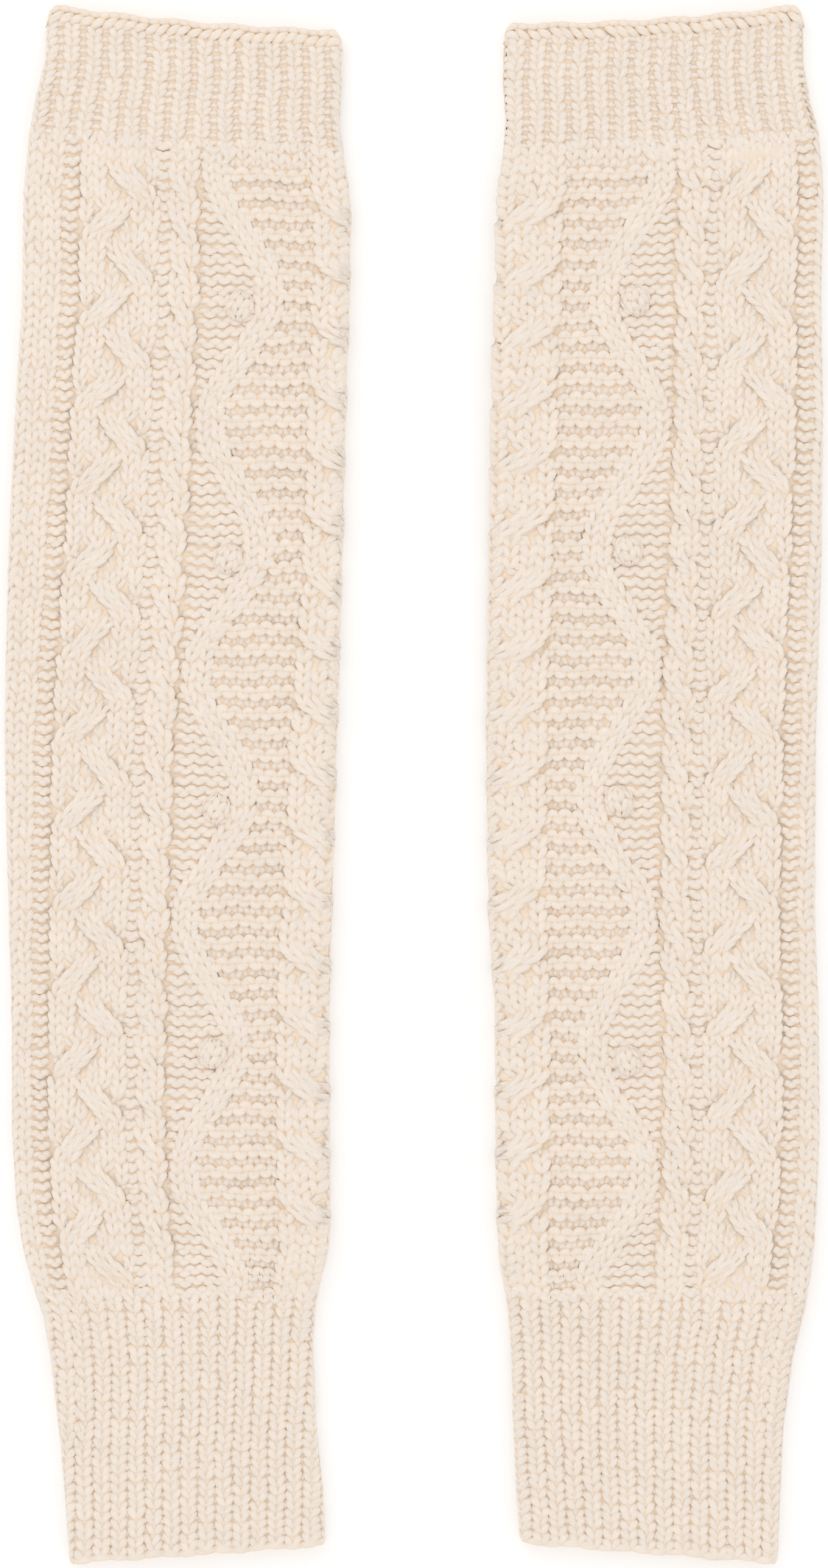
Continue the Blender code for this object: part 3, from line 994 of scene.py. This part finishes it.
class KNIT_PG_stage(bpy.types.PropertyGroup):
    """Floor and lights."""

    floor: FloatVectorProperty(
        name="Floor", description="Colour of the floor", subtype="COLOR", size=3,
        default=(0.98, 0.98, 0.98), min=0.0, max=1.0)
    sky: FloatProperty(
        name="Room light", description="Strength of the even light all round", default=0.925,
        min=0.0, max=3.0)
    key: FloatProperty(
        name="Key light", description="Power of the large soft lamp", default=1.2,
        min=0.0, max=200.0, unit="POWER")


# ----------------------------------------------------------------- operators


def knit_piece(scene, tube, yarns, name, wool="knitted_body", slot="body_wool"):
    """Make one piece's mesh from its yarns and return it."""
    return yarns.build(f"{tube.name}_{name}", wool_material(wool, scene.knit_look), slot)


class PieceOperator(bpy.types.Operator):
    """Shared start of every operator that lays stitches."""

    bl_options = {"REGISTER", "UNDO"}

    def execute(self, context):
        for tube in tubes():
            self.make(context.scene, tube)
        return {"FINISHED"}


class KNIT_OT_cloth(PieceOperator):
    """Make the thin tube of cloth under the stitches, coloured all over in painted shade"""

    bl_idname = "knit.cloth"
    bl_label = "Cloth under the stitches"

    def make(self, scene, tube):
        rings = CLOTH_RINGS
        start, end = tube.bottom + CLOTH_SHORT[0], tube.top - CLOTH_SHORT[1]
        along = np.linspace(start, end, rings)[:, None]
        offsets = np.linspace(FRONT_START, FRONT_END, FRONT_POINTS)
        lifts = column(np.array(FILLS), offsets)
        front = tube.lane(offsets, along)
        back_end = front[:, :1] + 2 * tube.half_round(along)
        back_share = np.arange(1, BACK_POINTS) / BACK_POINTS
        back = front[:, -1:] + (back_end - front[:, -1:]) * back_share
        around_at = np.concatenate([front, back], axis=1)
        panel = np.concatenate([lifts, np.full(BACK_POINTS - 1, 0.0)])
        in_body = smooth((along - tube.body_start) / FILL_FADE)
        in_body = in_body * smooth((tube.body_end - along) / FILL_FADE)
        lift = RIB_FILL + (panel - RIB_FILL) * in_body
        lift[:, len(lifts):] = np.minimum(lift[:, len(lifts):], 0.0)
        past = np.maximum(around_at - tube.half_round(along), -around_at)
        lift = np.where(lift > 0, lift * (1 - smooth(past / FOLD_FADE + 0.5)), lift)
        around = around_at.shape[1]
        outer = tube.place(around_at, along + 0 * around_at, lift)
        inner = tube.place(around_at, along + 0 * around_at, CLOTH_INSIDE + 0 * around_at)
        points = np.concatenate([outer.reshape(-1, 3), inner.reshape(-1, 3)])
        index = np.arange(rings * around).reshape(rings, around)
        ahead = np.roll(index, -1, axis=1)
        walls = np.stack([index[:-1], index[1:], ahead[1:], ahead[:-1]], axis=-1).reshape(-1, 4)
        inside = walls[:, ::-1] + rings * around
        ends = []
        for ring, flip in ((0, 1), (rings - 1, -1)):
            a, b = index[ring], ahead[ring]
            rim = np.stack([a, b, b + rings * around, a + rings * around], axis=-1)
            ends.append(rim[:, ::flip])
        faces = np.concatenate([walls, inside, *ends])
        if tube.outer_side > 0:
            faces = faces[:, ::-1]
        flat = np.empty((2, rings, around, 2))
        flat[..., 0] = MAP_MARGIN + MAP_WIDTH * np.arange(around) / around
        flat[..., 1] = np.linspace(MAP_MARGIN, 1 - MAP_MARGIN, rings)[:, None]
        flat[1, ..., 0] += 0.5
        flat = flat.reshape(-1, 2)[faces]
        wrapped = np.ptp(flat[..., 0], axis=1) > 0.25
        beyond = wrapped[:, None] & (np.mod(flat[..., 0], 0.5) < 0.25)
        flat[..., 0] += MAP_WIDTH * beyond
        # The cloth stands for the knit seen through the gaps; its colour is the painted shade tint, a
        # little darker still
        wool = wool_material("cloth_in_painted_shade", scene.knit_look, 0.98)
        obj = grid_object(
            f"{tube.name}_cloth", points, faces, flat.reshape(-1, 2), wool)
        # Full depth everywhere, so the whole cloth shows the painted shade
        depth = obj.data.attributes.new("depth", "FLOAT", "POINT")
        depth.data.foreach_set("value", np.full(len(points), -FULL_SHADE_DEPTH, np.float32))
        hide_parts(f"{tube.name}_body")


def plain_wales(yarns, rng, tube, offsets, width, rise):
    """Lay straight wales of knit stitches on the body."""
    rows = np.tile(body_rows(), len(offsets))
    at_offset = np.repeat(np.array(offsets), BODY_ROWS)[:, None]
    knit_legs(yarns, rng, rows, width, level(at_offset), level(rise), tube.row_along, tube.lane)


class KNIT_OT_edge_wales(PieceOperator):
    """Knit the plain wales at the outer fold"""

    bl_idname = "knit.edge_wales"
    bl_label = "Edge wales"

    def make(self, scene, tube):
        rng = np.random.default_rng(tube.seed + 1)
        yarns = Yarns(tube)
        offsets = [-LADDER_WIDTH - EDGE_STITCH * (k + 0.5) for k in range(EDGE_WALES)]
        plain_wales(yarns, rng, tube, offsets, EDGE_STITCH, EDGE_LIFT)
        knit_piece(scene, tube, yarns, "edge_wales")


class KNIT_OT_ladder(PieceOperator):
    """Knit the purl wales on both sides of the plait"""

    bl_idname = "knit.ladder"
    bl_label = "Purl wales"

    def make(self, scene, tube):
        rng = np.random.default_rng(tube.seed + 2)
        yarns = Yarns(tube)
        rows = body_rows()
        for offset, width, kind, crown, tilt in (
            (-LADDER_STITCH * 0.5, LADDER_STITCH, LADDER_BUMP, 1, 0.0),
            (-LADDER_STITCH * 1.0, LADDER_STITCH, LADDER_BUMP, -1, 0.0),
            (-LADDER_STITCH * 1.5, LADDER_STITCH, LADDER_BUMP, 1, 0.0),
            (PLAIT_WIDTH + 0.1 * PURL_WALE_WIDTH, PURL_WALE_WIDTH, SINGLE_BUMP, 1, 0.0),
            (PLAIT_WIDTH + 0.5 * PURL_WALE_WIDTH, 1.15 * PURL_WALE_WIDTH, SINGLE_BUMP, -1, 1.2),
            (PLAIT_WIDTH + 0.9 * PURL_WALE_WIDTH, PURL_WALE_WIDTH, SINGLE_BUMP, 1, 0.0),
        ):
            purl_bumps(yarns, rng, rows, np.full(len(rows), offset), width,
                       tube.row_along, tube.lane, kind, (crown,), tilt)
        knit_piece(scene, tube, yarns, "purl_wales")


class KNIT_OT_plait(PieceOperator):
    """Knit the wide plait of three strands"""

    bl_idname = "knit.plait"
    bl_label = "Plait cable"

    def make(self, scene, tube):
        rng = np.random.default_rng(tube.seed + 3)
        sizes = scene.knit_sizes
        outer = [Crossing(row, 0, 0) for row in every(PLAIT_OUTER)]
        inner = [Crossing(row, 1, 2) for row in every(PLAIT_INNER)]
        braid = Braid(3, 2, sorted(outer + inner), PLAIT_OUTER.span)
        yarns = Yarns(tube)
        lay_cable(yarns, rng, tube, braid, 0.0, PLAIT_WIDTH, sizes.cable_height,
                  sizes.crossing_height, PLAIT_OUTER.dive)
        knit_piece(scene, tube, yarns, "plait")


class KNIT_OT_rope(PieceOperator):
    """Knit the narrow rope of two stitches"""

    bl_idname = "knit.rope"
    bl_label = "Narrow rope"

    def make(self, scene, tube):
        rng = np.random.default_rng(tube.seed + 4)
        sizes = scene.knit_sizes
        crossings = [Crossing(row, 0, tube.rope_front) for row in every(ROPE_TWIST)]
        braid = Braid(2, 1, crossings, ROPE_TWIST.span)
        yarns = Yarns(tube)
        lay_cable(yarns, rng, tube, braid, ROPE_START, ROPE_WIDTH, ROPE_SHARE * sizes.cable_height,
                  ROPE_SHARE * sizes.crossing_height, ROPE_TWIST.dive)
        knit_piece(scene, tube, yarns, "rope")


class KNIT_OT_inner_cable(PieceOperator):
    """Knit the cable of two strands at the inner fold"""

    bl_idname = "knit.inner_cable"
    bl_label = "Inner cable"

    def make(self, scene, tube):
        rng = np.random.default_rng(tube.seed + 5)
        sizes = scene.knit_sizes
        crossings = [Crossing(row, 0, 1) for row in every(INNER_TWIST)]
        braid = Braid(2, 2, crossings, INNER_TWIST.span)
        yarns = Yarns(tube)
        lay_cable(yarns, rng, tube, braid, INNER_CABLE_START, INNER_CABLE_WIDTH,
                  sizes.cable_height, sizes.crossing_height, INNER_TWIST.dive)
        knit_piece(scene, tube, yarns, "inner_cable")


class KNIT_OT_line(PieceOperator):
    """Knit the travelling line of two stitches"""

    bl_idname = "knit.line"
    bl_label = "Travelling line"

    def make(self, scene, tube):
        rng = np.random.default_rng(tube.seed + 6)
        yarns = Yarns(tube)
        rows = body_rows()
        lift = LINE_SHARE * scene.knit_sizes.cable_height
        lay_core(yarns, line_centre, lambda at: settled(at, lift), tube.row_along,
                 tube.lane, 0.86 * LINE_STITCH, (0.0, BODY_ROWS))
        for side in (-0.5, 0.5):
            knit_legs(yarns, rng, rows, LINE_STITCH,
                      lambda at, side=side: line_centre(at) + side * LINE_STITCH,
                      lambda at: settled(at, lift), tube.row_along, tube.lane)
        knit_piece(scene, tube, yarns, "line")


def ground_places(rows, purl_side):
    """Return the rows and offsets of the stitches on one side of the line."""
    found_rows, offsets = [], []
    for row in rows:
        edge = line_centre(np.array(row)) + (-LINE_STITCH if purl_side else LINE_STITCH)
        for k in range(GROUND_MOST):
            if purl_side:
                offset = GROUND_START + (k + 0.5) * GROUND_STITCH
                inside = offset < edge + 0.3 * GROUND_STITCH
            else:
                offset = INNER_CABLE_START - (k + 0.5) * GROUND_STITCH
                inside = offset > edge - 0.3 * GROUND_STITCH
            if inside:
                found_rows.append(row)
                offsets.append(offset)
    return np.array(found_rows), np.array(offsets)


class KNIT_OT_purl_ground(PieceOperator):
    """Knit the purl ground between the rope and the line"""

    bl_idname = "knit.purl_ground"
    bl_label = "Purl ground"

    def make(self, scene, tube):
        rng = np.random.default_rng(tube.seed + 7)
        yarns = Yarns(tube)
        rows, offsets = ground_places(body_rows(), True)
        purl_bumps(yarns, rng, rows, offsets, GROUND_STITCH,
                   tube.row_along, tube.lane)
        knit_piece(scene, tube, yarns, "purl_ground")


class KNIT_OT_garter(PieceOperator):
    """Knit the garter ridges between the line and the inner cable"""

    bl_idname = "knit.garter"
    bl_label = "Garter ridges"

    def make(self, scene, tube):
        rng = np.random.default_rng(tube.seed + 8)
        yarns = Yarns(tube)
        rows, offsets = ground_places(np.arange(0.0, BODY_ROWS - 2.0, 2.0), False)
        purl_bumps(yarns, rng, rows, offsets, GROUND_STITCH, tube.row_along,
                   tube.lane, GARTER_BUMP)
        rows, offsets = ground_places(np.arange(1.0, BODY_ROWS, 2.0), False)
        knit_legs(yarns, rng, rows, GROUND_STITCH, level(offsets[:, None]), level(RECESS_LIFT),
                  tube.row_along, tube.lane, RECESS_LEG)
        rows, offsets = ground_places(np.array([BODY_ROWS - 1.0, BODY_ROWS]), False)
        knit_legs(yarns, rng, rows, GROUND_STITCH, level(offsets[:, None]), level(END_LIFT),
                  tube.row_along, tube.lane)
        knit_piece(scene, tube, yarns, "garter")


class KNIT_OT_back(PieceOperator):
    """Knit the plain back"""

    bl_idname = "knit.back"
    bl_label = "Plain back"

    def make(self, scene, tube):
        rng = np.random.default_rng(tube.seed + 9)
        yarns = Yarns(tube)
        rows = np.tile(body_rows(), BACK_WALES)
        wale = np.repeat(np.arange(BACK_WALES) + 0.5, BODY_ROWS)[:, None] / BACK_WALES

        def place_of(offset, along):
            start = tube.lane(FRONT_END, along)
            end = tube.lane(FRONT_START, along) + 2 * tube.half_round(along)
            return start + (end - start) * wale + offset

        knit_legs(yarns, rng, rows, EDGE_STITCH, level(0.0), level(BACK_LIFT),
                  tube.row_along, place_of, BACK_LEG)
        knit_piece(scene, tube, yarns, "back")


def lay_rib(yarns, rng, tube, rib, start, end, rows, rise):
    """Lay one-by-one rib all round between two places along the arm."""
    pitch = (end - start) / rows
    middle = (start + end) / 2
    pair_width = 2 * tube.half_round(middle) / rib.pairs
    phases = np.array(rib.phases)

    def along_of(at):
        return start + at * pitch

    row = np.tile(np.arange(rows) + 0.5, rib.pairs)
    pair = np.repeat(np.arange(rib.pairs), rows)
    around = np.mod(column(phases, middle) / pair_width + pair, rib.pairs)
    below = (around > 0.5 * rib.pairs + 1) & (around < rib.pairs - 2.5)
    for chosen, leg in ((~below, RIB_LEG), (below, BACK_RIB_LEG)):
        at_row, at_pair = row[chosen], pair[chosen][:, None]

        def place_of(offset, along, at_pair=at_pair):
            local_width = 2 * tube.half_round(along) / rib.pairs
            return column(phases, along) + (at_pair + offset / pair_width) * local_width

        knit_legs(yarns, rng, at_row, rib.share * pair_width, level(0.0), level(rise),
                  along_of, place_of, leg)
        if leg is RIB_LEG:
            purl_bumps(yarns, rng, at_row, np.full(len(at_row), pair_width / 2),
                       (1.20 - rib.share) * pair_width, along_of, place_of, RIB_BUMP, (1,), 0.5)
    for wale in np.arange(rib.pairs)[~below[::rows]]:

        def place_core(offset, along, wale=wale):
            local_width = 2 * tube.half_round(along) / rib.pairs
            return column(phases, along) + (wale + offset / pair_width) * local_width

        lay_core(yarns, level(0.0), level(rise), along_of, place_core,
                 0.44 * rib.share * pair_width, (0.0, rows))


class KNIT_OT_top_rib(PieceOperator):
    """Knit the rib at the upper arm"""

    bl_idname = "knit.top_rib"
    bl_label = "Top rib"

    def make(self, scene, tube):
        rng = np.random.default_rng(tube.seed + 10)
        yarns = Yarns(tube)
        end = tube.top - TOP_RIM_DEPTH + 0.6
        lay_rib(yarns, rng, tube, tube.top_rib, tube.body_end - RIB_OVERLAP, end, TOP_ROWS,
                scene.knit_sizes.rib_height)
        obj = knit_piece(scene, tube, yarns, "top_rib_knit", "knitted_rib", "rib_wool")
        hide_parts(f"{tube.name}_top_rib")


class KNIT_OT_cuff_rib(PieceOperator):
    """Knit the long rib of the cuff"""

    bl_idname = "knit.cuff_rib"
    bl_label = "Cuff rib"

    def make(self, scene, tube):
        rng = np.random.default_rng(tube.seed + 11)
        yarns = Yarns(tube)
        lay_rib(yarns, rng, tube, tube.cuff_rib, tube.bottom + 1.6,
                tube.body_start + RIB_OVERLAP, CUFF_ROWS, scene.knit_sizes.rib_height)
        obj = knit_piece(scene, tube, yarns, "cuff_rib_knit", "knitted_rib", "rib_wool")
        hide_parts(f"{tube.name}_cuff_rib")


def ring_yarn(yarns, rng, tube, along, roll, waves):
    """Lay a thick roll all round the tube, one swelling for each stitch."""
    t = np.linspace(-0.62, 0.62, 7)
    pitch = 2 * tube.half_round(along) / waves
    around = (np.arange(waves)[:, None] + t) * pitch
    lift = roll.lift - 0.5 * (2 * t) ** 2 + 0 * around
    line = np.stack([around, along + 0 * around, lift], axis=-1)
    swell = roll.half * (1 - 0.16 * (2 * t) ** 2) * (1 + 0.04 * rng.standard_normal((waves, 1)))
    yarns.add(line, swell, 0.95 * swell, ROUND_YARN, rng.random(waves))


class KNIT_OT_bound_off(PieceOperator):
    """Bind off the top: a chain of slanted stitches under a small roll"""

    bl_idname = "knit.bound_off"
    bl_label = "Bound-off rim"

    def make(self, scene, tube):
        rng = np.random.default_rng(tube.seed + 12)
        yarns = Yarns(tube)
        ring_yarn(yarns, rng, tube, tube.top - TOP_ROLL.half, TOP_ROLL, TOP_ROLL_STITCHES)
        middle = tube.top - CHAIN_DEPTH
        length = 2 * tube.half_round(middle)
        count = round(length / CHAIN_PITCH)
        t = np.linspace(0.0, 1.0, 8)
        start = (np.arange(count) + 0.06 * rng.standard_normal(count)) * length / count
        around = start[:, None] + (t - 0.5) * CHAIN_REACH * CHAIN_PITCH
        along = middle + (t - 0.5) * CHAIN_SLANT + 0.12 * rng.standard_normal((count, 1))
        lift = 0.45 + 0.85 * np.sin(math.pi * t) + 0 * around
        line = np.stack([around, along, lift], axis=-1)
        swell = np.interp(t, (0, 0.2, 0.5, 0.8, 1), (0.35, 0.85, 1.0, 0.85, 0.35))
        half = CHAIN_HALF * swell * (1 + 0.06 * rng.standard_normal((count, 1)))
        yarns.add(line, half, 0.85 * half, FULL_YARN, rng.random(count))
        obj = knit_piece(scene, tube, yarns, "bound_off", "knitted_rim", "rim_wool")
        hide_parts(f"{tube.name}_top_rim")


class KNIT_OT_cast_on(PieceOperator):
    """Cast on the cuff: a soft rounded roll"""

    bl_idname = "knit.cast_on"
    bl_label = "Cast-on rim"

    def make(self, scene, tube):
        rng = np.random.default_rng(tube.seed + 14)
        yarns = Yarns(tube)
        ring_yarn(yarns, rng, tube, tube.bottom + CUFF_ROLL.half, CUFF_ROLL, tube.cuff_rib.pairs)
        obj = knit_piece(scene, tube, yarns, "cast_on", "knitted_rim", "rim_wool")
        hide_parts(f"{tube.name}_cuff_rim")


class KNIT_OT_cuff_seam(PieceOperator):
    """Sew up the cuff: bulging stitches just inside its outer fold"""

    bl_idname = "knit.cuff_seam"
    bl_label = "Cuff seam"

    def make(self, scene, tube):
        rng = np.random.default_rng(tube.seed + 13)
        yarns = Yarns(tube)
        phases = np.array(tube.cuff_rib.phases)
        first, last = (tube.body_start - below for below in SEAM_SPAN)
        along = np.arange(first, last, -SEAM_STITCH)
        pair = 2 * tube.half_round(along) / tube.cuff_rib.pairs
        around = np.interp(along, phases[:, 0], phases[:, 1]) - 0.52 * pair
        t = np.linspace(0.0, 1.0, 8)
        across = 0.5 * np.sin(math.pi * t) - 0.35 * (t - 0.5)
        line = np.stack(
            [
                around[:, None] + across,
                along[:, None] + (t - 0.5) * 0.9 * SEAM_STITCH,
                0.2 + 0.9 * np.sin(math.pi * t) + 0 * along[:, None],
            ],
            axis=-1,
        )
        swell = np.interp(t, (0, 0.25, 0.5, 0.8, 1), (0.4, 0.9, 1.0, 0.85, 0.4))
        half = SEAM_HALF * swell * (1 + 0.08 * rng.standard_normal((len(along), 1)))
        yarns.add(line, half, 0.9 * half, FULL_YARN, rng.random(len(along)))
        knit_piece(scene, tube, yarns, "cuff_seam", "knitted_rib", "rib_wool")


class KNIT_OT_bobbles(PieceOperator):
    """Knit the bobbles that stand on the purl ground"""

    bl_idname = "knit.bobbles"
    bl_label = "Bobbles"

    def make(self, scene, tube):
        wool = wool_material("knitted_bobble", scene.knit_look)
        for number, bobble in enumerate(tube.bobbles, start=1):
            rng = np.random.default_rng(tube.seed + 20 + number)
            node = f"{tube.name}_bobble_{number}"
            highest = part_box(node)[1]
            obj = self.bobble(tube, rng, bobble, highest.z / MM, node, wool)
            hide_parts(node)

    def bobble(self, tube, rng, bobble, top, node, wool):
        """Make one bobble: a core, columns of small stitches and a ring round it."""
        yarns = Yarns(tube)
        base = MIDDLE + FOLD_CORE + 0.3
        half_width, half_length = BOBBLE_CORE
        height = top - base - 0.95
        twist = rng.uniform(-0.6, -0.2)

        def on_floor(around, along, lift):
            x = bobble.across - tube.outer_side * around
            return np.stack([x, bobble.along + along, base + lift], axis=-1) * MM

        def on_dome(around, along, lift):
            turned = around * math.cos(twist) - along * math.sin(twist)
            along = around * math.sin(twist) + along * math.cos(twist)
            turn = np.clip(turned / half_width, -1.5, 1.5)
            tip = np.clip(along / half_length, -1.5, 1.5)
            x = (half_width + lift) * np.sin(turn) * np.cos(tip)
            y = (half_length + lift) * np.sin(tip)
            z = (height + lift) * np.cos(turn) * np.cos(tip)
            return on_floor(x, y, z)

        t = np.linspace(-0.995, 0.995, 14)
        core = np.sqrt(1 - t**2)[None]
        line = np.stack([0 * t, half_length * t, 0 * t], axis=-1)[None]
        yarns.on(on_floor).add(line, half_width * core, height * core, ROUND_YARN, np.array([0.5]))

        row = np.tile(np.arange(BOBBLE_ROWS) - (BOBBLE_ROWS - 1) / 2, BOBBLE_WALES)
        wale = np.repeat(np.arange(BOBBLE_WALES) - (BOBBLE_WALES - 1) / 2, BOBBLE_ROWS)
        knit_legs(yarns.on(on_dome), rng, row, BOBBLE_STITCH,
                  level(wale[:, None] * BOBBLE_STITCH), level(BOBBLE_LIFT),
                  lambda at: at * BOBBLE_ROW, lambda offset, along: offset, STRAND_LEG)

        angle = np.linspace(0.0, 2 * math.pi, 25)
        reach = 1.0 + 0.04 * np.sin(3 * angle + 6 * twist)
        x = (half_width + 0.25) * reach * np.cos(angle)
        y = (half_length + 0.25) * reach * np.sin(angle)
        ring = np.stack([x, y, 0.1 + 0.3 * np.cos(2 * angle + 5 * twist)], axis=-1)[None]
        half = 0.75 * (1 + 0.15 * np.cos(4 * angle + 7 * twist))[None]
        yarns.on(on_floor).add(ring, half, half, ROUND_YARN, np.array([0.3]))
        return yarns.build(f"{node}_knit", wool, "bobble_wool")


class KNIT_OT_stage(bpy.types.Operator):
    """Set the pale floor, the soft lights and the camera straight above"""

    bl_idname = "knit.stage"
    bl_label = "Floor, light and camera"
    bl_options = {"REGISTER", "UNDO"}

    def execute(self, context):
        scene = context.scene
        settings = scene.knit_stage
        mesh = bpy.data.meshes.new("floor")
        corners = [(x * FLOOR_HALF, y * FLOOR_HALF, 0.0) for x, y in ((-1, -1), (1, -1), (1, 1), (-1, 1))]
        mesh.from_pydata(corners, [], [(0, 1, 2, 3)])
        mesh.materials.append(floor_material(settings.floor))
        floor = bpy.data.objects.new("floor", mesh)
        scene.collection.objects.link(floor)

        world = bpy.data.worlds.new("room")
        world.use_nodes = True
        sky = world.node_tree.nodes["Background"]
        sky.inputs["Color"].default_value = (1.0, 1.0, 1.0, 1.0)
        sky.inputs["Strength"].default_value = settings.sky
        scene.world = world

        lamp = bpy.data.lights.new("key", "AREA")
        lamp.shape = "DISK"
        lamp.size = KEY_SIZE
        lamp.energy = settings.key
        key = bpy.data.objects.new("key", lamp)
        key.location = KEY_PLACE
        key.rotation_euler = Vector(key.location).to_track_quat("Z", "Y").to_euler()
        scene.collection.objects.link(key)

        lens = bpy.data.cameras.new("camera")
        lens.lens = LENS
        lens.sensor_width = SENSOR
        camera = bpy.data.objects.new("camera", lens)
        camera.location = (0.0, 0.0, FRAME_HEIGHT * LENS / SENSOR + CLOTH_TOP * MM)
        scene.collection.objects.link(camera)
        scene.camera = camera
        scene.view_settings.view_transform = "Standard"
        return {"FINISHED"}


class KNIT_PT_panel(bpy.types.Panel):
    """Sidebar list of the pieces and their settings"""

    bl_idname = "KNIT_PT_panel"
    bl_label = "Knitted arm warmers"
    bl_space_type = "VIEW_3D"
    bl_region_type = "UI"
    bl_category = "Knit"

    def draw(self, context):
        layout = self.layout
        for group in (context.scene.knit_sizes, context.scene.knit_look, context.scene.knit_stage):
            box = layout.box()
            for name in group.__annotations__:
                box.prop(group, name)
        for operator in OPERATORS:
            layout.operator(operator.bl_idname)


OPERATORS = (
    KNIT_OT_cloth,
    KNIT_OT_edge_wales,
    KNIT_OT_ladder,
    KNIT_OT_plait,
    KNIT_OT_rope,
    KNIT_OT_purl_ground,
    KNIT_OT_line,
    KNIT_OT_garter,
    KNIT_OT_inner_cable,
    KNIT_OT_bobbles,
    KNIT_OT_back,
    KNIT_OT_top_rib,
    KNIT_OT_cuff_rib,
    KNIT_OT_bound_off,
    KNIT_OT_cast_on,
    KNIT_OT_cuff_seam,
    KNIT_OT_stage,
)
SETTINGS = {
    "knit_sizes": KNIT_PG_sizes,
    "knit_look": KNIT_PG_look,
    "knit_stage": KNIT_PG_stage,
}


def register():
    """Add the classes and the scene's settings."""
    for group in (*SETTINGS.values(), *OPERATORS, KNIT_PT_panel):
        bpy.utils.register_class(group)
    for name, group in SETTINGS.items():
        setattr(bpy.types.Scene, name, PointerProperty(type=group))


def unregister():
    """Remove the classes and the scene's settings."""
    for name in SETTINGS:
        delattr(bpy.types.Scene, name)
    for group in reversed((*SETTINGS.values(), *OPERATORS, KNIT_PT_panel)):
        bpy.utils.unregister_class(group)


def declare_cloth():
    """Work out how far round each arm warmer's cloth goes along its length; the result is not passed on.
    """
    for tube in tubes():
        along = np.linspace(tube.bottom, tube.top, 200)
        rounds = 2 * tube.half_round(along)


def main():
    """Make the arm warmers and their stage."""
    register()
    for operator in OPERATORS:
        group, name = operator.bl_idname.split(".")
        getattr(getattr(bpy.ops, group), name)()
    declare_cloth()


if __name__ == "__main__":
    main()
